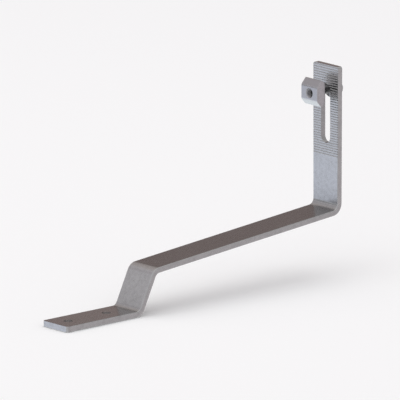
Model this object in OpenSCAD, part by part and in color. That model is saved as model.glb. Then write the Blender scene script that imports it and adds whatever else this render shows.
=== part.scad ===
// Roof hook for solar rails on a tile roof: one flat steel strap bent four ways, with a
// serrated, slotted upright that carries a rail nut on a socket head bolt.
// Millimetres. The origin is on the underside of the base, midway between the screw holes.
// +Y runs from the base to the upright, +Z is up, and +X goes across the strap.

/* [Strap] */
// Width of the flat bar
strap_w = 35; // [30:1:50]
// Thickness of the flat bar
strap_t = 5.5; // [4:0.5:8]
// Radius inside each bend
bend_r = 6; // [3:0.5:10]
// Rounding of the four corners at the bar's two ends
end_corner_r = 2.2; // [0.5:0.1:5]
// Base, from its end to the sharp corner with the riser
base_len = 91.2; // [85:0.2:140]
// Riser, from sharp corner to sharp corner on its upper face
riser_len = 42.5; // [30:0.5:80]
// Slope of the riser above the base
riser_angle = 64.25; // [45:0.25:80]
// Arm, from sharp corner to sharp corner on its upper face
arm_len = 235.2; // [120:0.2:320]
// Upward slope of the arm
arm_angle = 5; // [0:0.5:12]
// Upright, from its inner corner with the arm to its top end
upright_len = 138.8; // [120:0.2:180]

/* [Screw holes] */
// Diameter of the two holes in the base
screw_hole_d = 8.5; // [5:0.5:11]
// Distance from hole to hole
screw_pitch = 48; // [30:1:54]
// Distance from the end of the base to the first hole
screw_edge = 16.5; // [12:0.5:20]

/* [Slot and serrations] */
// Width of the slot
slot_w = 12.6; // [9:0.1:15]
// Distance between the centres of the slot's round ends
slot_travel = 45.6; // [30:0.2:60]
// Distance from the top of the upright to the centre of the slot's upper end
slot_drop = 24.7; // [20:0.1:30]
// Distance from ridge to ridge
ridge_pitch = 2.4; // [1.5:0.1:3]
// Number of grooves, counted down from the top
ridge_count = 37; // [20:1:40]
// Depth of the grooves
ridge_depth = 0.5; // [0.4:0.1:1.2]
// Width of the flat left on each ridge
ridge_flat = 1.4; // [0.2:0.1:1.8]

/* [Rail nut] */
// Width of the nut across the strap
nut_w = 22.7; // [18:0.1:30]
// Depth of the nut along the bolt
nut_depth = 10; // [8:0.5:14]
// Height of the nut's flat front
nut_front_h = 14.2; // [12:0.1:18]
// Height of the nut at its widest
nut_h = 27; // [22:0.1:30]
// Height of the nut's flat back
nut_back_h = 20; // [16:0.5:22]
// Depth of the sloped faces beside the flat front
nut_nose = 5.8; // [3:0.5:6]
// Rounding of the nut's long edges
nut_edge_r = 0.7; // [0.2:0.1:1]
// Gap between the nut and the strap, which the rail's lips go into
nut_gap = 11; // [6:0.5:12]

/* [Clamp bolt] */
// Diameter over the thread
bolt_d = 8; // [6:1:8]
// Length below the head
bolt_len = 25; // [24:0.5:30]
// Diameter of the head
head_d = 13; // [12:0.5:14]
// Height of the head
head_h = 8; // [6:0.5:10]
// Rounding of the head's rim
head_rim_r = 1; // [0.2:0.1:1.5]
// Hexagon socket, across flats
socket_af = 6; // [5:0.5:8]
// Depth of the hexagon socket
socket_depth = 4; // [3:0.5:5]
// Chamfer at the tip of the thread and round the threaded hole
thread_chamfer = 0.9; // [0.5:0.1:1.2]
// Radial play between bolt and nut
thread_play = 0.05; // [0.02:0.01:0.09]

/* [Washers] */
// Outside diameter of the plain washer
washer_d = 16; // [15:0.5:20]
// Thickness of the plain washer
washer_t = 1.6; // [1:0.2:2.4]
// Radial play of the bolt in the plain washer
washer_play = 0.2; // [0.1:0.05:0.4]
// Outside diameter of the spring washer
spring_d = 14.8; // [13:0.1:15]
// Thickness of the spring washer, closed flat
spring_t = 2; // [1.4:0.2:2.6]
// Radial play of the bolt in the spring washer
spring_play = 0.1; // [0.05:0.05:0.2]
// Width of the slit in the spring washer
spring_slit = 1.6; // [1:0.2:2.4]
// Slant of the slit
spring_slant = 25; // [15:5:35]
// Bevel round the plain washer's outer edge
washer_bevel = 0.3; // [0.1:0.1:0.5]

/* [Hidden] */
$fn = 96;
cut = 1;                                  // how far a cutter runs past the face it opens
outer_r = bend_r + strap_t;
bend_step = 3;                            // slope gained from one point of a bend to the next
base_start = -(screw_edge + screw_pitch / 2);
// sharp corners of the upper face, as points of y and z: heel, knee and foot of the upright
heel = [base_start + base_len, strap_t];
knee = heel + riser_len * [cos(riser_angle), sin(riser_angle)];
foot = knee + arm_len * [cos(arm_angle), sin(arm_angle)];
// front face and top end of the upright
face_y = foot.x;
top_z = foot.y + upright_len;
back_y = face_y + strap_t;
bolt_z = top_z - slot_drop;
head_y = back_y + washer_t + spring_t;    // where the head seats
hex_corner = 2 / sqrt(3);                 // across corners for one across flats

// Unit normal on the upper side of a stretch that climbs at a slope
function normal(slope) = [-sin(slope), cos(slope)];

// Centre of the bend at a corner between two slopes, at r from the upper face.
// A positive r puts it above that face, a negative one below.
function bend_centre(corner, s0, s1, r) =
    corner + r * (normal(s0) + normal(s1)) / (1 + normal(s0) * normal(s1));

// Points along one side of a bend, from one slope to the next
function bend_points(centre, s0, s1, r) =
    let (n = ceil(abs(s1 - s0) / bend_step))
    [for (i = [0 : n]) centre + r * normal(s0 + (s1 - s0) * i / n)];

// One side of the bar from base to upright; upper is the nut's side
function side_points(upper) =
    let (c1 = bend_centre(heel, 0, riser_angle, bend_r),
         c2 = bend_centre(knee, riser_angle, arm_angle, -outer_r),
         c3 = bend_centre(foot, arm_angle, 90, bend_r),
         inside = upper ? bend_r : outer_r,
         outside = upper ? outer_r : bend_r)
    concat([[base_start, upper ? strap_t : 0]],
           bend_points(c1, 0, riser_angle, -inside),
           bend_points(c2, riser_angle, arm_angle, outside),
           bend_points(c3, arm_angle, 90, -inside),
           [[upper ? face_y : back_y, top_z]]);

function reversed(list) = [for (i = [len(list) - 1 : -1 : 0]) list[i]];

// The bent bar, before anything is cut
module bent_bar() {
    rotate([90, 0, 90])
        linear_extrude(strap_w, center = true)
            polygon(concat(side_points(true), reversed(side_points(false))));
}

// What is cut from an end to round its two corners; the end lies on the X axis
module end_corners() {
    r = end_corner_r;
    for (side = [0, 1])
        mirror([side, 0, 0])
            translate([strap_w / 2 - r, -r, -cut])
                linear_extrude(strap_t + 2 * cut)
                    difference() {
                        square(r + cut);
                        circle(r);
                    }
}

// Base seen from above, with its end on the X axis
module base_cuts() {
    end_corners();
    for (i = [0, 1])
        translate([0, -screw_edge - i * screw_pitch, -cut])
            cylinder(d = screw_hole_d, h = strap_t + 2 * cut);
}

// One groove across the upright, open at z = 0
module groove() {
    half = (ridge_pitch - ridge_flat) / 2;
    rise = cut * ridge_depth / half;
    rotate([90, 0, 90])
        linear_extrude(strap_w + 2 * cut, center = true)
            polygon([[0, -ridge_depth], [half + cut, rise], [-half - cut, rise]]);
}

// Upright seen from the nut's side, with its top end on the X axis and its face at strap_t
module upright_cuts() {
    end_corners();
    translate([0, 0, -cut])
        linear_extrude(strap_t + 2 * cut) {
            translate([-slot_w / 2, -slot_drop - slot_travel]) square([slot_w, slot_travel]);
            for (y = [-slot_drop - slot_travel, -slot_drop]) translate([0, y]) circle(d = slot_w);
        }
    for (i = [0 : ridge_count - 1])
        translate([0, -(i + 0.5) * ridge_pitch, strap_t]) groove();
}

module hook_strap() {
    color([0.62, 0.61, 0.62])
        difference() {
            bent_bar();
            translate([0, base_start, 0]) mirror([0, 1, 0]) base_cuts();
            translate([0, back_y, top_z]) rotate([90, 0, 0]) upright_cuts();
        }
}

// Half outline of the nut from the side, as points of depth and height
function nut_outline() = [
    [0, nut_front_h / 2], [nut_nose, nut_h / 2], [nut_depth, nut_back_h / 2],
    [nut_depth, -nut_back_h / 2], [nut_nose, -nut_h / 2], [0, -nut_front_h / 2]
];

// Direction from one point to another
function unit_between(a, b) = (b - a) / norm(b - a);

// A bar of convex outline, w wide, with every long edge rounded to a true arc
module rounded_bar(points, r, w) {
    n = len(points);
    spokes = [for (i = [0 : n - 1])
        let (p = points[i],
             back = unit_between(p, points[(i + n - 1) % n]),
             ahead = unit_between(p, points[(i + 1) % n]),
             half = acos(back * ahead) / 2,
             mid = (back + ahead) / norm(back + ahead))
        [p + back * r / tan(half), p + ahead * r / tan(half), p + mid * r / sin(half)]];
    linear_extrude(w, center = true) polygon([for (s = spokes) each [s[0], s[2], s[1]]]);
    for (s = spokes) linear_extrude(w, center = true) translate(s[2]) circle(r);
}

// Threaded hole with a chamfer at both mouths, from y = 0 to y = depth
module tapped_hole(depth) {
    r = bolt_d / 2 + thread_play;
    lead = thread_chamfer;
    rotate([-90, 0, 0]) {
        translate([0, 0, -cut]) cylinder(r = r, h = depth + 2 * cut);
        translate([0, 0, -cut]) cylinder(r1 = r + lead + cut, r2 = r, h = lead + cut);
        translate([0, 0, depth - lead]) cylinder(r1 = r, r2 = r + lead + cut, h = lead + cut);
    }
}

module rail_nut() {
    color([0.72, 0.72, 0.74])
        translate([0, face_y - nut_gap - nut_depth, bolt_z])
            difference() {
                rotate([90, 0, 90]) rounded_bar(nut_outline(), nut_edge_r, nut_w);
                tapped_hole(nut_depth);
            }
}

// Half section of the bolt, as points of radius and distance from under the head
module bolt_section() {
    tip = bolt_d / 2 - thread_chamfer;
    polygon([[0, -bolt_len], [tip, -bolt_len], [bolt_d / 2, thread_chamfer - bolt_len],
             [bolt_d / 2, 0], [0, 0]]);
    square([head_d / 2, head_h - head_rim_r]);
    square([head_d / 2 - head_rim_r, head_h]);
    translate([head_d / 2 - head_rim_r, head_h - head_rim_r])
        intersection() {
            circle(head_rim_r);
            square(head_rim_r);
        }
}

module clamp_bolt() {
    color([0.5, 0.5, 0.52])
        translate([0, head_y, bolt_z])
            rotate([-90, 0, 0])
                difference() {
                    rotate_extrude() bolt_section();
                    translate([0, 0, head_h - socket_depth])
                        cylinder(d = socket_af * hex_corner, h = socket_depth + cut, $fn = 6);
                }
}

module spring_washer() {
    inner = bolt_d / 2 + spring_play;
    color([0.55, 0.55, 0.56])
        translate([0, back_y + washer_t, bolt_z])
            rotate([-90, 0, 0])
                difference() {
                    cylinder(d = spring_d, h = spring_t);
                    translate([0, 0, -cut]) cylinder(r = inner, h = spring_t + 2 * cut);
                    translate([spring_d / 2, 0, spring_t / 2])
                        rotate([spring_slant, 0, 0])
                            cube([spring_d, spring_slit, 4 * spring_t], center = true);
                }
}

// Half section of the plain washer, with its outer edge bevelled on the outward side
module washer_section() {
    inner = bolt_d / 2 + washer_play;
    outer = washer_d / 2;
    polygon([[inner, 0], [outer, 0], [outer, washer_t - washer_bevel],
             [outer - washer_bevel, washer_t], [inner, washer_t]]);
}

module plain_washer() {
    color([0.6, 0.6, 0.61])
        translate([0, back_y, bolt_z])
            rotate([-90, 0, 0]) rotate_extrude() washer_section();
}

hook_strap();
rail_nut();
clamp_bolt();
spring_washer();
plain_washer();
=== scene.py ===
"""Roof hook for solar rails: a bent flat bar with a serrated, slotted upright, and the rail nut
that its socket head bolt carries. Metres, in the frame of the construction model."""
import math

import bmesh
import bpy
from mathutils import Matrix, Vector


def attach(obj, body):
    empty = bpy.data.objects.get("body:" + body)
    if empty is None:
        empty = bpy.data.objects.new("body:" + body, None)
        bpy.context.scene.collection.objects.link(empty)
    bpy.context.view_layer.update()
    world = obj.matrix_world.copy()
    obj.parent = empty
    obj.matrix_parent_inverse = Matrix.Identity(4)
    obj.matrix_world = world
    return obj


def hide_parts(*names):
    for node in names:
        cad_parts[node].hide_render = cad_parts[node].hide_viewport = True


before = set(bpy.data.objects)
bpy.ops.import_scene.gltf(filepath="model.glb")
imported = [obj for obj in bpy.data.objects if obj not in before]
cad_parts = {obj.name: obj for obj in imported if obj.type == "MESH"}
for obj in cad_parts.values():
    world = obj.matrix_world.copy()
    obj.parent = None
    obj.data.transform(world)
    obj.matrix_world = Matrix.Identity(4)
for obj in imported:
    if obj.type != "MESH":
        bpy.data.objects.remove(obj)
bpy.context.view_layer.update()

MM = 0.001
PAST = 1.0                        # how far a cutter runs past the face that it opens, in mm
SAME = 1e-6                       # metres within which two places count as one
MERGED = 1e-7                     # metres within which two vertices are merged

# sizes of the hook, in mm

STRAP_W, STRAP_T = 35.0, 5.5
BEND_R = 6.0
OUTER_R = BEND_R + STRAP_T
EDGE_R, HOLE_EDGE_R = 0.9, 0.3    # rounding of the rolled bar's long edges, and of cut edges
END_CORNER_R = 2.2
BASE_LEN, RISER_LEN, ARM_LEN, UPRIGHT_LEN = 91.2, 42.5, 235.2, 138.8
RISER_SLOPE, ARM_SLOPE, UPRIGHT_SLOPE = math.radians(64.25), math.radians(5), math.pi / 2
BEND_STEP, BEND_RINGS = 3, 10     # degrees from ring to ring in a bend, and the fewest rings
SCREW_D, SCREW_PITCH, SCREW_EDGE = 8.5, 48.0, 16.5
SLOT_W, SLOT_TRAVEL, SLOT_DROP = 12.6, 45.6, 24.7
RIDGE_PITCH, RIDGE_COUNT, RIDGE_DEPTH, RIDGE_FLAT = 2.4, 37, 0.5, 1.4

BASE_END = -(SCREW_EDGE + SCREW_PITCH / 2)
HEEL = (BASE_END + BASE_LEN, STRAP_T)
KNEE = (HEEL[0] + RISER_LEN * math.cos(RISER_SLOPE), HEEL[1] + RISER_LEN * math.sin(RISER_SLOPE))
FOOT = (KNEE[0] + ARM_LEN * math.cos(ARM_SLOPE), KNEE[1] + ARM_LEN * math.sin(ARM_SLOPE))
FACE_Y, BACK_Y = FOOT[0], FOOT[0] + STRAP_T
TOP_Z = FOOT[1] + UPRIGHT_LEN
BOLT_Z = TOP_Z - SLOT_DROP

NUT_W, NUT_DEPTH, NUT_NOSE = 22.7, 10.0, 5.8
NUT_FRONT_H, NUT_H, NUT_BACK_H = 14.2, 27.0, 20.0
NUT_GAP = 11.0                    # room for the rail's lips between the nut and the upright
NUT_EDGE_R, NUT_END_R = 1.5, 0.4  # rounding of the nut's drawn edges, and of its sawn ends
NUT_MOUTH = 0.9                   # countersink at both ends of the nut's bore, at 45 degrees
NUT_BACK_Y = FACE_Y - NUT_GAP
NUT_FRONT_Y = NUT_BACK_Y - NUT_DEPTH

WASHER_D, WASHER_HOLE_D, WASHER_T, WASHER_EDGE_R = 16.0, 8.4, 1.6, 0.25
SPRING_D, SPRING_HOLE_D, SPRING_T, SPRING_EDGE_R = 14.8, 8.2, 2.0, 0.18
SPRING_SLIT, SPRING_SLANT = 1.6, math.radians(65)     # slant from the washer's own plane
SLIT_REACH = 12.0                 # how far the slit's cutter reaches, to clear the ring
HEAD_Y = BACK_Y + WASHER_T + SPRING_T
HEAD_D, HEAD_H, BOLT_LEN = 13.0, 8.0, 25.0
HEAD_RIM_R, HEAD_FOOT_R = 0.9, 0.35
KNURL_TEETH, KNURL_DEPTH = 48, 0.12
SOCKET_AF, SOCKET_DEPTH, SOCKET_LEAD = 6.0, 4.0, 0.5
DRILL_R, DRILL_DEPTH = 2.9, 1.2   # the drill's cone, below the socket's flat bottom
THREAD_PITCH, THREAD_R, THREAD_ROOT_R = 1.25, 3.97, 3.32
THREAD_ROOT_FLAT, THREAD_FLANK = 0.13, 0.37     # as shares of the pitch
THREAD_STEPS = 40                 # sides of one turn
THREAD_PLAY = 0.06                # room between the nut's thread and the bolt's
NECK_LEN = 1.2                    # plain neck under the bolt's head


# modelling by hand, step by step

def only(piece):
    """Makes one object the selected and active one."""
    bpy.ops.object.select_all(action="DESELECT")
    piece.select_set(True)
    bpy.context.view_layer.objects.active = piece


def added(name):
    """Names the object that an operator has just added and puts its place in its mesh."""
    piece = bpy.context.object
    piece.name = piece.data.name = name
    only(piece)
    bpy.ops.object.transform_apply(location=True, rotation=True, scale=True)
    return piece


def edit(piece, mode="VERT"):
    """Opens a piece in edit mode with nothing selected."""
    only(piece)
    bpy.ops.object.mode_set(mode="EDIT")
    bpy.ops.mesh.select_mode(type=mode)
    bpy.ops.mesh.select_all(action="DESELECT")


def done(piece):
    """Leaves edit mode."""
    bpy.ops.object.mode_set(mode="OBJECT")
    return piece


def pick(piece, elements, test):
    """Selects the vertices or edges for which test is true."""
    mesh = bmesh.from_edit_mesh(piece.data)
    for element in getattr(mesh, elements):
        if test(element):
            element.select_set(True)
    mesh.select_flush_mode()
    bmesh.update_edit_mesh(piece.data)


def along(edge):
    """The direction that an edge runs in."""
    return (edge.verts[1].co - edge.verts[0].co).normalized()


def round_edges(piece, radius, segments, test):
    """Rounds the edges for which test is true, on a piece that is open in edit mode."""
    bpy.ops.mesh.select_all(action="DESELECT")
    pick(piece, "edges", test)
    bpy.ops.mesh.bevel(offset=radius * MM, offset_type="OFFSET", segments=segments, profile=0.5)


def outward(piece):
    """Merges doubles and turns every face outwards."""
    edit(piece)
    bpy.ops.mesh.select_all(action="SELECT")
    bpy.ops.mesh.remove_doubles(threshold=MERGED)
    bpy.ops.mesh.normals_make_consistent(inside=False)
    return done(piece)


def modified(piece, kind, **settings):
    """Adds a modifier and applies it."""
    only(piece)
    step = piece.modifiers.new(kind.title(), kind)
    for key, value in settings.items():
        setattr(step, key, value)
    bpy.ops.object.modifier_apply(modifier=step.name)
    return piece


def cut(piece, *cutters, operation="DIFFERENCE", solver="EXACT"):
    """Cuts with each cutter in turn, and takes the cutters away."""
    for cutter in cutters:
        modified(piece, "BOOLEAN", operation=operation, solver=solver, object=cutter)
        bpy.data.objects.remove(cutter, do_unlink=True)
    return piece


def broken_edges(piece, width, segments=2):
    """Rounds every edge that turns by more than 50 degrees, as tumbling or a file does."""
    return modified(piece, "BEVEL", width=width * MM, segments=segments, limit_method="ANGLE",
                    angle_limit=math.radians(50), use_clamp_overlap=True,
                    miter_outer="MITER_SHARP")


def smooth(piece, limit=28):
    """Smooth over bends and rounded edges, flat on the flats."""
    only(piece)
    bpy.ops.object.shade_smooth_by_angle(angle=math.radians(limit))
    modified(piece, "WEIGHTED_NORMAL", keep_sharp=True, weight=90)
    return piece


def rod(name, radius, start, end, vertices=64, at=BOLT_Z, upright=False, end_radius=None):
    """A round bar in mm, along Y at the height `at`, or upright at that place along Y."""
    middle = (start + end) / 2
    place = (0, at, middle) if upright else (0, middle, at)
    bpy.ops.object.select_all(action="DESELECT")
    bpy.ops.mesh.primitive_cone_add(
        vertices=vertices, radius1=radius * MM,
        radius2=(radius if end_radius is None else end_radius) * MM,
        depth=(end - start) * MM, end_fill_type="NGON",
        rotation=(0 if upright else -math.pi / 2, 0, 0), location=[v * MM for v in place])
    return added(name)


def plate(name, width, height, y, z):
    """A rectangle that faces along Y, in mm: the first section of a piece drawn out of it."""
    bpy.ops.object.select_all(action="DESELECT")
    bpy.ops.mesh.primitive_plane_add(size=1, rotation=(math.pi / 2, 0, 0),
                                     location=(0, y * MM, z * MM))
    bpy.context.object.scale = (width * MM, height * MM, 1)
    return added(name)


def block(name, low, high):
    """A box between two corners, in mm."""
    bpy.ops.object.select_all(action="DESELECT")
    bpy.ops.mesh.primitive_cube_add(size=1, location=[(a + b) / 2 * MM for a, b in zip(low, high)])
    bpy.context.object.scale = [(b - a) * MM for a, b in zip(low, high)]
    return added(name)


# the bent bar

def normal(slope):
    """The upper side's direction, in Y and Z, where the bar climbs at a slope."""
    return Vector((-math.sin(slope), math.cos(slope)))


def bend_centre(corner, before, after, r):
    """Centre of the bend at a corner of the upper face; a negative r puts it below that face."""
    n0, n1 = normal(before), normal(after)
    return Vector(corner) + r * (n0 + n1) / (1 + n0.dot(n1))


def grow(distance, slope):
    """Extrudes the selected end of the bar straight on."""
    step = Vector((0, math.cos(slope), math.sin(slope))) * distance * MM
    bpy.ops.mesh.extrude_region_move(TRANSFORM_OT_translate={"value": step})


def turn_about(centre, angle, steps):
    """Spins the selected end of the bar about a bend's centre."""
    bpy.ops.mesh.spin(steps=steps, angle=-angle, axis=(1, 0, 0),
                      center=(0, centre[0] * MM, centre[1] * MM))


def bent_bar():
    """A rectangle at the end of the base, drawn out along the base, riser, arm and upright."""
    bends = [(HEEL, 0.0, RISER_SLOPE, BEND_R), (KNEE, RISER_SLOPE, ARM_SLOPE, -OUTER_R),
             (FOOT, ARM_SLOPE, UPRIGHT_SLOPE, BEND_R)]
    bar = plate("bent_bar", STRAP_W, STRAP_T, BASE_END, STRAP_T / 2)
    edit(bar, "FACE")
    bpy.ops.mesh.select_all(action="SELECT")
    at = Vector((BASE_END, STRAP_T))
    for corner, before, after, r in bends:
        reach = abs(r) * math.tan(abs(after - before) / 2)
        grow((Vector(corner) - at).length - reach, before)
        turn_about(bend_centre(corner, before, after, r), after - before,
                   max(BEND_RINGS, round(math.degrees(abs(after - before)) / BEND_STEP)))
        at = Vector(corner) + reach * Vector((math.cos(after), math.sin(after)))
    grow(TOP_Z - at[1], UPRIGHT_SLOPE)
    done(bar)
    outward(bar)
    edit(bar, "EDGE")
    # the four corners at the two ends
    round_edges(bar, END_CORNER_R, 8, lambda e: abs(along(e).x) < 0.01 and (
        all(abs(v.co.y - BASE_END * MM) < SAME for v in e.verts)
        or all(abs(v.co.z - TOP_Z * MM) < SAME for v in e.verts)))
    # the rolled edges, all along both sides
    round_edges(bar, EDGE_R, 4, lambda e: abs(along(e).x) < 0.01 and sorted(
        abs(face.normal.x) > 0.9 for face in e.link_faces) == [False, True])
    return done(bar)


def slot_cutter():
    """A round bar whose lower half is drawn down to the slot's lower end."""
    cutter = rod("slot_cutter", SLOT_W / 2, FACE_Y - 2 * PAST, BACK_Y + 2 * PAST)
    edit(cutter)
    pick(cutter, "verts", lambda v: v.co.z < (BOLT_Z - 1e-4) * MM)
    bpy.ops.transform.translate(value=(0, 0, -SLOT_TRAVEL * MM))
    return done(cutter)


def ridge_cutters():
    """One V, pressed in over the whole width, repeated down the upright."""
    half = (RIDGE_PITCH - RIDGE_FLAT) / 2
    rise = 0.3                                # how far the V runs on above the face
    wide = half * (RIDGE_DEPTH + rise) / RIDGE_DEPTH
    z = TOP_Z - RIDGE_PITCH / 2
    cutter = block("ridge_cutter", (-STRAP_W / 2 - 2 * PAST, FACE_Y - rise, z - wide),
                   (STRAP_W / 2 + 2 * PAST, FACE_Y + RIDGE_DEPTH, z + wide))
    edit(cutter)
    pick(cutter, "verts", lambda v: v.co.y > FACE_Y * MM)
    bpy.ops.transform.resize(value=(1, 1, 0), center_override=(0, FACE_Y * MM, z * MM))
    bpy.ops.mesh.remove_doubles(threshold=SAME)
    done(cutter)
    copies = [cutter]
    for i in range(1, RIDGE_COUNT):
        copy = cutter.copy()
        copy.data = cutter.data.copy()
        copy.data.transform(Matrix.Translation((0, 0, -i * RIDGE_PITCH * MM)))
        bpy.context.collection.objects.link(copy)
        copies.append(copy)
    return copies


def strap():
    """The bent bar with its screw holes, its slot and the grooves across the upright."""
    bar = bent_bar()
    holes = [rod("hole_cutter", SCREW_D / 2, -2 * PAST, STRAP_T + 2 * PAST, 48,
                 at=side * SCREW_PITCH / 2, upright=True) for side in (-1, 1)]
    cut(bar, *holes, slot_cutter())
    broken_edges(bar, HOLE_EDGE_R)
    ridges = ridge_cutters()
    for first in (0, 1):                      # neighbours overlap above the face, so two passes
        group = ridges[first::2]
        only(group[0])
        for copy in group:
            copy.select_set(True)
        bpy.ops.object.join()
        cut(bar, bpy.context.object, solver="MANIFOLD")
    return smooth(outward(bar))


# threads

def thread(name, root, crest, y0, y1):
    """A right-hand M8 thread between y0 and y1 on the bolt's axis, as a closed solid.

    The outline of one flank after another is swept once round while it climbs one pitch, so
    each turn meets the next, and the ragged ends are then cut square. Its turns are counted from
    the bolt's head, so the bolt's thread and the nut's run in each other.
    """
    first = math.floor((y0 - HEAD_Y) / THREAD_PITCH) - 1
    last = math.ceil((y1 - HEAD_Y) / THREAD_PITCH) + 2
    outline = []
    for i in range(first, last):
        at = HEAD_Y + i * THREAD_PITCH
        outline += [(root, at), (root, at + THREAD_ROOT_FLAT * THREAD_PITCH),
                    (crest, at + (THREAD_ROOT_FLAT + THREAD_FLANK) * THREAD_PITCH),
                    (crest, at + (1 - THREAD_FLANK) * THREAD_PITCH)]
    outline.append((root, HEAD_Y + last * THREAD_PITCH))
    mesh = bpy.data.meshes.new(name)
    mesh.from_pydata([(r * MM, y * MM, 0) for r, y in outline],
                     [(i, i + 1) for i in range(len(outline) - 1)], [])
    piece = bpy.data.objects.new(name, mesh)
    bpy.context.collection.objects.link(piece)
    modified(piece, "SCREW", axis="Y", angle=2 * math.pi, screw_offset=THREAD_PITCH * MM,
             steps=THREAD_STEPS, render_steps=THREAD_STEPS, use_merge_vertices=True,
             merge_threshold=MERGED, use_smooth_shade=False)
    edit(piece)
    bpy.ops.mesh.select_all(action="SELECT")
    bpy.ops.mesh.remove_doubles(threshold=MERGED)
    for y, outer in ((y0, False), (y1, True)):
        bpy.ops.mesh.select_all(action="SELECT")
        bpy.ops.mesh.bisect(plane_co=(0, y * MM, 0), plane_no=(0, 1, 0), use_fill=True,
                            clear_outer=outer, clear_inner=not outer, threshold=MERGED)
    done(piece)
    piece.data.transform(Matrix.Translation((0, 0, BOLT_Z * MM)))
    return outward(piece)


def chamfer_end(piece, y, radius, growing):
    """Turns a thread's end down to a cone that leaves radius at y."""
    for v in piece.data.vertices:
        out = Vector((v.co.x, 0, v.co.z - BOLT_Z * MM))
        most = (radius + growing * (v.co.y / MM - y)) * MM
        if out.length > most > 0:
            out *= most / out.length
            v.co.x, v.co.z = out.x, out.z + BOLT_Z * MM
    return piece


# the fitting on the upright

def rail_nut():
    """The front face, drawn back to the widest height and on to the flat back."""
    nut = plate("channel_nut", NUT_W, NUT_FRONT_H, NUT_FRONT_Y, BOLT_Z)
    edit(nut, "FACE")
    bpy.ops.mesh.select_all(action="SELECT")
    for depth, height, before in ((NUT_NOSE, NUT_H, NUT_FRONT_H),
                                  (NUT_DEPTH - NUT_NOSE, NUT_BACK_H, NUT_H)):
        bpy.ops.mesh.extrude_region_move(TRANSFORM_OT_translate={"value": (0, depth * MM, 0)})
        bpy.ops.transform.resize(value=(1, 1, height / before), center_override=(0, 0, BOLT_Z * MM))
    done(nut)
    outward(nut)
    edit(nut, "EDGE")
    round_edges(nut, NUT_EDGE_R, 6, lambda e: abs(along(e).x) > 0.99)
    done(nut)
    broken_edges(nut, NUT_END_R, 3)
    tap = thread("tap", THREAD_ROOT_R + THREAD_PLAY, THREAD_R + THREAD_PLAY,
                 NUT_FRONT_Y - PAST, NUT_BACK_Y + PAST)
    widest = THREAD_R + (NUT_MOUTH + PAST)
    mouths = [rod("mouth", widest, NUT_FRONT_Y - PAST, NUT_FRONT_Y + NUT_MOUTH,
                  end_radius=THREAD_R),
              rod("mouth", THREAD_R, NUT_BACK_Y - NUT_MOUTH, NUT_BACK_Y + PAST,
                  end_radius=widest)]
    cut(nut, tap, *mouths)
    return smooth(outward(nut), 30)


def clamp_bolt():
    """A knurled head with its hexagon socket, on a fully threaded shank."""
    top = HEAD_Y + HEAD_H
    head = rod("socket_bolt", HEAD_D / 2, HEAD_Y, top, KNURL_TEETH * 4)
    edit(head, "EDGE")
    round_edges(head, HEAD_RIM_R, 5, lambda e: all(v.co.y > top * MM - SAME for v in e.verts))
    round_edges(head, HEAD_FOOT_R, 2, lambda e: all(v.co.y < HEAD_Y * MM + SAME for v in e.verts))
    done(head)
    # straight knurl, pressed in between the two roundings
    for v in head.data.vertices:
        out = Vector((v.co.x, 0, v.co.z - BOLT_Z * MM))
        if out.length > (HEAD_D / 2 - 0.02) * MM:
            phase = math.atan2(out.z, out.x) * KNURL_TEETH / (2 * math.pi)
            out *= 1 - KNURL_DEPTH / (HEAD_D / 2) * (0.5 - 0.5 * math.cos(2 * math.pi * phase))
            v.co.x, v.co.z = out.x, out.z + BOLT_Z * MM
    bottom = top - SOCKET_DEPTH
    socket = rod("socket", SOCKET_AF / math.sqrt(3), bottom, top + PAST, 6)
    drill = rod("drill", 0.1, bottom - DRILL_DEPTH, bottom + 0.2, 48, end_radius=DRILL_R)
    lead = rod("lead", SOCKET_AF / 2, top - SOCKET_LEAD, top + 0.2, 48, end_radius=4.0)
    cut(head, socket, drill, lead)
    tip = HEAD_Y - BOLT_LEN
    shank = thread("shank", THREAD_ROOT_R, THREAD_R, tip, HEAD_Y - NECK_LEN)
    chamfer_end(shank, tip, THREAD_ROOT_R - 0.25, 1.0)
    # the neck runs a little way into the thread and into the head, so that all three join
    neck = rod("neck", THREAD_ROOT_R + 0.1, HEAD_Y - (NECK_LEN + 0.4), HEAD_Y + 0.5)
    cut(head, shank, neck, operation="UNION")
    return smooth(outward(head), 25)


def ring(name, outer, inner, y0, y1):
    """A ring turned from a round bar, by its outer and inner diameter."""
    washer = rod(name, outer / 2, y0, y1, 96)
    return cut(washer, rod("bore", inner / 2, y0 - PAST, y1 + PAST))


def plain_washer():
    """The flat ring that lies on the back of the upright."""
    washer = ring("flat_washer", WASHER_D, WASHER_HOLE_D, BACK_Y, BACK_Y + WASHER_T)
    return smooth(outward(broken_edges(washer, WASHER_EDGE_R)))


def spring_washer():
    """A square-section ring, slit on a slant where its two ends meet."""
    seat = BACK_Y + WASHER_T
    washer = ring("split_washer", SPRING_D, SPRING_HOLE_D, seat, HEAD_Y)
    slit = block("slit", (0, -SPRING_SLIT / 2, -SLIT_REACH / 2),
                 (SLIT_REACH, SPRING_SLIT / 2, SLIT_REACH / 2))
    slit.data.transform(Matrix.Translation((0, (seat + SPRING_T / 2) * MM, BOLT_Z * MM))
                        @ Matrix.Rotation(SPRING_SLANT, 4, "X"))
    cut(washer, slit)
    return smooth(outward(broken_edges(washer, SPRING_EDGE_R)))


# shader building

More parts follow.
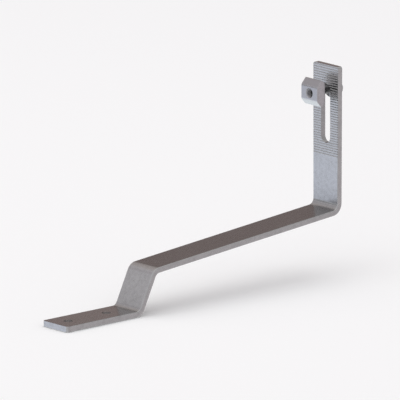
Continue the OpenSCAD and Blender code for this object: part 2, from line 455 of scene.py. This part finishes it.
class Value:
    """A socket that takes part in Python expressions: each one adds a Math node."""

    def __init__(self, shader, socket):
        self.shader, self.socket = shader, socket

    def _with(self, operation, a, b):
        return self.shader.node("ShaderNodeMath", {"operation": operation}, {0: a, 1: b})[0]

    def __add__(self, other):
        return self._with("ADD", self, other)

    def __radd__(self, other):
        return self._with("ADD", other, self)

    def __sub__(self, other):
        return self._with("SUBTRACT", self, other)

    def __rsub__(self, other):
        return self._with("SUBTRACT", other, self)

    def __mul__(self, other):
        return self._with("MULTIPLY", self, other)

    def __rtruediv__(self, other):
        return self._with("DIVIDE", other, self)

    def __pow__(self, other):
        return self._with("POWER", self, other)

    def __rpow__(self, other):
        return self._with("POWER", other, self)

    def __abs__(self):
        return self._with("ABSOLUTE", self, 0.0)


class Outputs:
    """A node's outputs, by name or number."""

    def __init__(self, shader, made):
        self.shader, self.made = shader, made

    def __getitem__(self, key):
        return Value(self.shader, self.made.outputs[key])


class Shader:
    """Adds nodes to a material's or the world's tree."""

    def __init__(self, owner):
        owner.use_nodes = True
        self.tree = owner.node_tree
        self.tree.nodes.clear()

    def node(self, kind, settings=None, sockets=None):
        made = self.tree.nodes.new(kind)
        for key, value in (settings or {}).items():
            setattr(made, key, value)
        for key, value in (sockets or {}).items():
            if isinstance(value, Value):
                self.tree.links.new(value.socket, made.inputs[key])
            else:
                made.inputs[key].default_value = value
        return Outputs(self, made)

    def mix(self, factor, a, b):
        """Blends two colours."""
        return self.node("ShaderNodeMix", {"data_type": "RGBA"}, {0: factor, 6: a, 7: b})[2]

    def stretched(self, source, scale):
        return self.node("ShaderNodeMapping", {}, {"Vector": source, "Scale": scale})[0]

    def noise(self, source, scale, detail, rough):
        return self.node("ShaderNodeTexNoise", {"noise_dimensions": "3D"}, {
            "Vector": source, "Scale": scale, "Detail": detail, "Roughness": rough})[0]

    def ramp(self, value, low, high):
        """0 below low, 1 above high, smooth between."""
        return self.node("ShaderNodeMapRange", {"interpolation_type": "SMOOTHSTEP", "clamp": True},
                         {0: value, 1: low, 2: high, 3: 0.0, 4: 1.0})[0]

    def axes(self, vector):
        """The X, Y and Z of a vector."""
        return self.node("ShaderNodeSeparateXYZ", {}, {0: vector})


def grey(level, tint=(1.0, 1.0, 1.0)):
    """A grey, or a grey with a slight tint."""
    return tuple(level * t for t in tint) + (1.0,)


def toned(colour, factor):
    """A colour made lighter or darker."""
    return tuple(c * factor for c in colour[:3]) + (1.0,)


# the shares of its normal along an axis from which a face starts to count as looking that way,
# and from which it fully does
FACING = (0.8, 0.98)
# how far around a point the piece's own hollows are felt for, in metres, and the tone of the shade
# painted into them
HOLLOW_REACH, HOLLOW_SHADE_GREY = 0.03, 0.02
# cells a metre of the stains, the pits and the rubbed patches
STAINS, PITS, RUBS = 38.0, 4200.0, 260.0


def metal(name, colour, dark, roughness, grain_scale, grain_bump, streaks, worn, along_uv=False,
          side=None, tooled_and_painted=(), recess_shade=None, corner_shade=0.0):
    """A bare metal with drawn or rolled streaks, fine grain, handling marks and rubbed edges.

    colour and dark are its tones between the streaks and in them; grain_scale is in cells a metre,
    grain_bump in mm, and streaks how many there are in a metre along each way. worn takes the
    place on the piece and gives 1 at its rubbed edges. side is the colour and the extra roughness
    of the faces along X, and corners how strongly shade is painted into the piece's own hollows,
    such as the inside of a bend, where ambient occlusion finds them. fresh lists places that a
    tool has cut or pressed, each a mask, a colour painted there as light or shade, and an extra
    roughness. dirty is a mask and a strength for shade painted into the roots of a thread or a
    bore, which also makes them rougher.
    """
    material = bpy.data.materials.new(name)
    s = Shader(material)
    coords = s.node("ShaderNodeTexCoord")
    body = coords["Object"]
    place = coords["UV"] if along_uv else body
    streak = s.noise(s.stretched(place, streaks), 1.0, 3.0, 0.6)
    grain = s.noise(body, grain_scale, 2.0, 0.6)
    cloud = s.noise(body, STAINS, 3.0, 0.55)
    smudge = s.ramp(cloud, 0.50, 0.72)
    pits = s.ramp(s.noise(body, PITS, 2.0, 0.5), 0.66, 0.76)
    tone = 0.5 + (streak - 0.5) * 0.7 + (grain - 0.5) * 0.15 + (cloud - 0.5) * 0.08 - pits * 0.06
    base = s.mix(s.ramp(tone, 0.15, 0.85), dark, colour)
    rough = roughness + (streak - 0.5) * 0.04 + (grain - 0.5) * 0.02 + smudge * 0.01 + pits * 0.01
    if side:
        side_colour, side_rougher = side
        sheared = s.ramp(abs(s.axes(coords["Normal"])[0]), *FACING)
        base = s.mix(sheared, base, side_colour)
        rough = rough + sheared * side_rougher
    rubbed = worn(s, place) * s.ramp(s.noise(body, RUBS, 3.0, 0.7), 0.30, 0.65)
    base = s.mix(rubbed * 0.55, base, toned(colour, 1.22))
    rough = rough - rubbed * 0.05
    if corner_shade:
        # painted shade: the colour darkens towards grey in the piece's own hollows, such as the
        # insides of the bends, found by ambient occlusion, and less on faces that look up
        open_sky = s.node("ShaderNodeAmbientOcclusion", {"samples": 8, "only_local": True},
                          {"Distance": HOLLOW_REACH})["AO"]
        looks_up = s.ramp(s.axes(coords["Normal"])[2], *FACING)
        painted_hollow_shade = (1 - open_sky) * (1 - looks_up * 0.6)
        base = s.mix(painted_hollow_shade * corner_shade, base, grey(HOLLOW_SHADE_GREY))
    # painted light and shade: each place's colour is laid over the metal, lighter on the groove
    # flanks and darker on the hole walls, together with the rougher surface that the tool left
    for mask, painted_colour, rougher in tooled_and_painted:
        tooled_painted_mask = mask(s, body)
        base = s.mix(tooled_painted_mask, base, painted_colour)
        rough = rough + tooled_painted_mask * rougher
    # painted shade: the colour darkens in the roots of a thread or inside a bore, which are also
    # rougher
    if recess_shade:
        mask, strength = recess_shade
        painted_recess_shade = mask(s, place) * strength
        base = s.mix(painted_recess_shade, base, toned(dark, 0.35))
        rough = rough + painted_recess_shade * 0.12
    bump = s.node("ShaderNodeBump", {}, {
        "Strength": 1.0, "Distance": grain_bump * MM,
        "Height": grain * 0.4 + streak * 0.6 - pits * 0.15})
    shade = s.node("ShaderNodeBsdfPrincipled", {}, {
        "Base Color": base, "Metallic": 1.0, "Roughness": rough, "Normal": bump[0]})
    s.node("ShaderNodeOutputMaterial", {}, {"Surface": shade[0]})
    return material


def bar_edges(s, place):
    """The two rolled edges: the map's first number is metres across the bar."""
    across = s.axes(place)[0]
    return s.ramp(abs(across), (STRAP_W / 2 - 1.3) * MM, (STRAP_W / 2 - 0.4) * MM)


def pressed(s, body):
    """The flanks of the grooves across the upright's face, where the colour is painted lighter."""
    at = s.axes(body)
    floor_y, edge_x = FACE_Y + RIDGE_DEPTH, STRAP_W / 2 - EDGE_R
    lowest = TOP_Z - RIDGE_COUNT * RIDGE_PITCH
    below_face = s.ramp(at[1], (FACE_Y + 0.02) * MM, (FACE_Y + 0.07) * MM)
    above_floor = 1 - s.ramp(at[1], floor_y * MM, (floor_y + 0.1) * MM)
    off_edges = 1 - s.ramp(abs(at[0]), (edge_x - 0.2) * MM, (edge_x + 0.1) * MM)
    above_lowest = s.ramp(at[2], (lowest - 1) * MM, lowest * MM)
    below_top = 1 - s.ramp(at[2], (TOP_Z - 0.6) * MM, (TOP_Z - 0.4) * MM)
    sideways = s.axes(s.node("ShaderNodeTexCoord")["Normal"])[0]
    off_sides = 1 - s.ramp(abs(sideways), *FACING)
    return below_face * above_floor * off_edges * above_lowest * below_top * off_sides


def hole_walls(s, body):
    """The walls of the two screw holes, where shade is painted."""
    at = s.axes(body)
    radius = SCREW_D / 2
    walls = 0.0
    for middle in (-SCREW_PITCH / 2, SCREW_PITCH / 2):
        along_bar = at[1] - middle * MM
        from_middle = (at[0] * at[0] + along_bar * along_bar) ** 0.5
        walls = walls + (1 - s.ramp(from_middle, (radius + 0.02) * MM, (radius + 0.2) * MM))
    return walls


def nut_edges(s, place):
    """The two cut ends, and the front face's upper and lower edge."""
    at = s.axes(place)
    ends = s.ramp(abs(at[0]), (NUT_W / 2 - 0.6) * MM, (NUT_W / 2 - 0.1) * MM)
    height = abs(abs(at[2] - BOLT_Z * MM) - NUT_FRONT_H / 2 * MM)
    return ends + (1 - ends) * s.ramp(0.8 * MM - height, 0.0, 0.6 * MM)


def from_axis(s, place):
    """Distance from the bolt's axis."""
    at = s.axes(place)
    z = at[2] - BOLT_Z * MM
    return (at[0] * at[0] + z * z) ** 0.5


def in_thread(s, place):
    """1 in the roots of the bolt's thread, where shade is painted, 0 at its crests."""
    return 1 - s.ramp(from_axis(s, place), (THREAD_ROOT_R + 0.1) * MM, (THREAD_R + 0.35) * MM)


def in_bore(s, place):
    """1 in the nut's tapped hole, where shade is painted, 0 on its faces."""
    return 1 - s.ramp(from_axis(s, place), (THREAD_R + 0.2) * MM, (THREAD_R + 0.6) * MM)


def head_rim(s, place):
    """The rims of the bolt's head and of the washers, by their distance from the bolt's axis."""
    return s.ramp(from_axis(s, place), (HEAD_D / 2 - 0.6) * MM, (HEAD_D / 2 - 0.1) * MM)


# pieces, finishes and bodies

def unroll(bar):
    """Gives the bar a UV map of metres across it and metres along it, so that the mill's
    rolling lines run round the bends."""
    runs = []
    length = 0.0
    path = [(BASE_END, STRAP_T), HEEL, KNEE, FOOT, (FACE_Y, TOP_Z)]
    for a, b in zip(path, path[1:]):
        a, b = Vector(a), Vector(b)
        runs.append((a, (b - a).normalized(), (b - a).length, length))
        length += (b - a).length
    layer = bar.data.uv_layers.new(name="along_bar")
    for loop in bar.data.loops:
        co = bar.data.vertices[loop.vertex_index].co / MM
        point = Vector((co.y, co.z))
        best = None
        for start, way, run, before in runs:
            t = min(max((point - start).dot(way), 0.0), run)
            miss = (point - start - way * t).length
            if best is None or miss < best[0]:
                best = (miss, before + t)
        layer.data[loop.index].uv = (co.x * MM, best[1] * MM)


def finish(piece, material):
    """Gives a piece its one material."""
    piece.data.materials.clear()
    piece.data.materials.append(material)


WARM_TINT, ALLOY_TINT = (1.04, 0.97, 0.94), (1.0, 0.98, 1.01)
strap_steel = metal(
    "satin_stainless_strap", grey(0.41), grey(0.39, (1.02, 1.0, 1.0)), roughness=0.28,
    grain_scale=2600.0, grain_bump=0.0002, streaks=(1200.0, 25.0, 1.0), worn=bar_edges,
    # shade is painted into the bar's own hollows, such as the insides of the bends
    along_uv=True, side=(grey(0.39), 0.03), corner_shade=0.62,
    # the groove flanks are painted lighter against the shade in the grooves, and the walls of the
    # screw holes are painted darker as shade; both are also rougher
    tooled_and_painted=((pressed, grey(0.57), 0.25), (hole_walls, grey(0.34, WARM_TINT), 0.25)))
fastener_steel = metal(
    "stainless_fasteners", grey(0.39), grey(0.33), roughness=0.26,
    grain_scale=3000.0, grain_bump=0.001, streaks=(400.0, 2200.0, 400.0), worn=head_rim,
    # painted shade in the roots of the bolt's thread
    recess_shade=(in_thread, 1.0))
nut_alloy = metal(
    "drawn_aluminium_nut", grey(0.41, ALLOY_TINT), grey(0.38, ALLOY_TINT), roughness=0.30,
    grain_scale=2400.0, grain_bump=0.001, streaks=(60.0, 2500.0, 2500.0), worn=nut_edges,
    # painted shade inside the nut's tapped hole
    recess_shade=(in_bore, 0.4))

bar = strap()
unroll(bar)
finish(bar, strap_steel)
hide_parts("hook_strap")
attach(bar, "hook")

nut = rail_nut()
finish(nut, nut_alloy)
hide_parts("rail_nut")
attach(nut, "nut")

bolt = clamp_bolt()
finish(bolt, fastener_steel)
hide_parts("clamp_bolt")
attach(bolt, "bolt")

for washer, node in ((plain_washer(), "plain_washer"), (spring_washer(), "spring_washer")):
    finish(washer, fastener_steel)
    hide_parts(node)
    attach(washer, "washers")

# floor, lights and surroundings

PALE = grey(0.97)                 # the floor, and the horizon that it runs out to

bpy.ops.object.select_all(action="DESELECT")
bpy.ops.mesh.primitive_plane_add(size=400, location=(0, 0, -0.0005))
floor = added("floor")
paper = bpy.data.materials.new("white_paper")
s = Shader(paper)
shade = s.node("ShaderNodeBsdfPrincipled", {}, {
    "Base Color": PALE, "Roughness": 0.9, "Specular IOR Level": 0.0})
s.node("ShaderNodeOutputMaterial", {}, {"Surface": shade[0]})
finish(floor, paper)
floor.visible_glossy = False

# what the metal mirrors: broad cards and openings around the hook, each a direction,
# the level seen in that direction and how tightly it holds there
CARDS = [
    ((-0.72, 0.68, 0.00), (0.48, 0.41, 0.40), 30.0),        # foot of the wall behind on the left
    ((-0.72, 0.65, 0.20), (0.41, 0.31, 0.29), 80.0),        # that wall, dark
    ((-0.72, 0.60, 0.35), (0.02, 0.00, 0.00), 48.0),        # its top, darker still
    ((-0.72, 0.38, 0.58), (0.56, 0.50, 0.48), 70.0),        # open studio above it
    ((-0.72, 0.10, 0.68), (0.64, 0.58, 0.57), 16.0),        # ceiling on the left
    ((-0.72, -0.27, 0.64), (0.77, 0.75, 0.79), 50.0),       # lit ceiling in front of that
    ((-0.72, -0.45, 0.52), (0.49, 0.45, 0.48), 90.0),       # gap above the soft box
    ((-0.72, -0.59, 0.36), (0.82, 0.80, 0.83), 60.0),       # soft box in front on the left
    ((-0.72, -0.69, 0.03), (0.03, 0.03, 0.04), 80.0),       # dark gap under it
    ((-0.72, -0.63, -0.27), (1.10, 1.17, 1.35), 40.0),      # floor in front
    ((-0.72, 0.02, -0.69), (1.56, 1.70, 1.76), 12.0),       # floor close by
    ((-0.72, 0.65, -0.23), (2.00, 1.92, 1.88), 40.0),       # floor behind on the left
    ((-1.0, 0.10, -0.10), (0.70, 0.68, 0.68), 30.0),        # wall on the left
    ((0.72, 0.65, -0.23), (0.79, 0.73, 0.76), 12.0),        # floor behind on the right
    ((0.70, -0.60, 0.35), (0.82, 0.82, 0.85), 6.0),         # studio in front on the right
    ((0.0, 0.0, 1.0), (1.00, 1.00, 1.00), 8.0),             # overhead
    ((0.0, 0.0, -1.0), (1.0, 1.0, 1.0), 6.0),               # straight below
    ((0.60, 0.70, 0.35), (0.64, 0.63, 0.64), 6.0),          # studio behind on the right
    ((0.0, -0.9, 0.1), (0.85, 0.85, 0.88), 6.0),            # studio in front
]
world = bpy.data.worlds.new("studio")
bpy.context.scene.world = world
s = Shader(world)
way = s.node("ShaderNodeTexCoord")["Generated"]
total, weight = None, None
for direction, level, tight in CARDS:
    unit = Vector(direction).normalized()
    facing = s.node("ShaderNodeVectorMath", {"operation": "DOT_PRODUCT"}, {0: way, 1: unit})[1]
    share = math.e ** ((facing - 1.0) * tight)
    part = s.node("ShaderNodeVectorMath", {"operation": "SCALE"}, {0: level, 3: share})[0]
    total = part if total is None else s.node("ShaderNodeVectorMath", {"operation": "ADD"},
                                              {0: total, 1: part})[0]
    weight = share if weight is None else weight + share
around = s.node("ShaderNodeVectorMath", {"operation": "SCALE"}, {0: total, 3: 1.0 / weight})[0]
above_horizon = abs(s.axes(way)[2])
seen = s.mix(s.ramp(above_horizon, 0.02, 0.06), PALE, around)
light = s.node("ShaderNodeBackground", {}, {"Color": seen, "Strength": 1.0})
s.node("ShaderNodeOutputWorld", {}, {"Surface": light[0]})

sky = bpy.data.lights.new("overhead_softbox", "AREA")
sky.shape, sky.size, sky.size_y, sky.energy = "RECTANGLE", 4.0, 4.0, 20.5
overhead = bpy.data.objects.new("overhead_softbox", sky)
overhead.location = (-0.3, -0.2, 2.6)
aimed = Vector((0, 0.15, 0)) - overhead.location
overhead.rotation_euler = aimed.to_track_quat("-Z", "Y").to_euler()
overhead.visible_glossy = False
bpy.context.collection.objects.link(overhead)

# camera

# far off and long, so that the picture is nearly parallel; SCALE is pixels for a mm at AIM
AIM = Vector((14.711, 129.743, 100.688)) * MM
TURN, LIFT, STAND_OFF, SCALE = math.radians(48.1324), math.radians(13.4457), 16.0, 1.0569
SENSOR, PICTURE = 36.0, 400
back = Vector((math.sin(TURN) * math.cos(LIFT), -math.cos(TURN) * math.cos(LIFT), math.sin(LIFT)))
lens = bpy.data.cameras.new("camera")
lens.sensor_width, lens.lens = SENSOR, SCALE * STAND_OFF * 1000 * SENSOR / PICTURE
lens.clip_start, lens.clip_end = 1.0, 60.0
camera = bpy.data.objects.new("camera", lens)
camera.location = AIM + back * STAND_OFF
camera.rotation_euler = (math.pi / 2 - LIFT, 0, TURN)
bpy.context.collection.objects.link(camera)
bpy.context.scene.camera = camera
bpy.context.scene.view_settings.view_transform = "Standard"
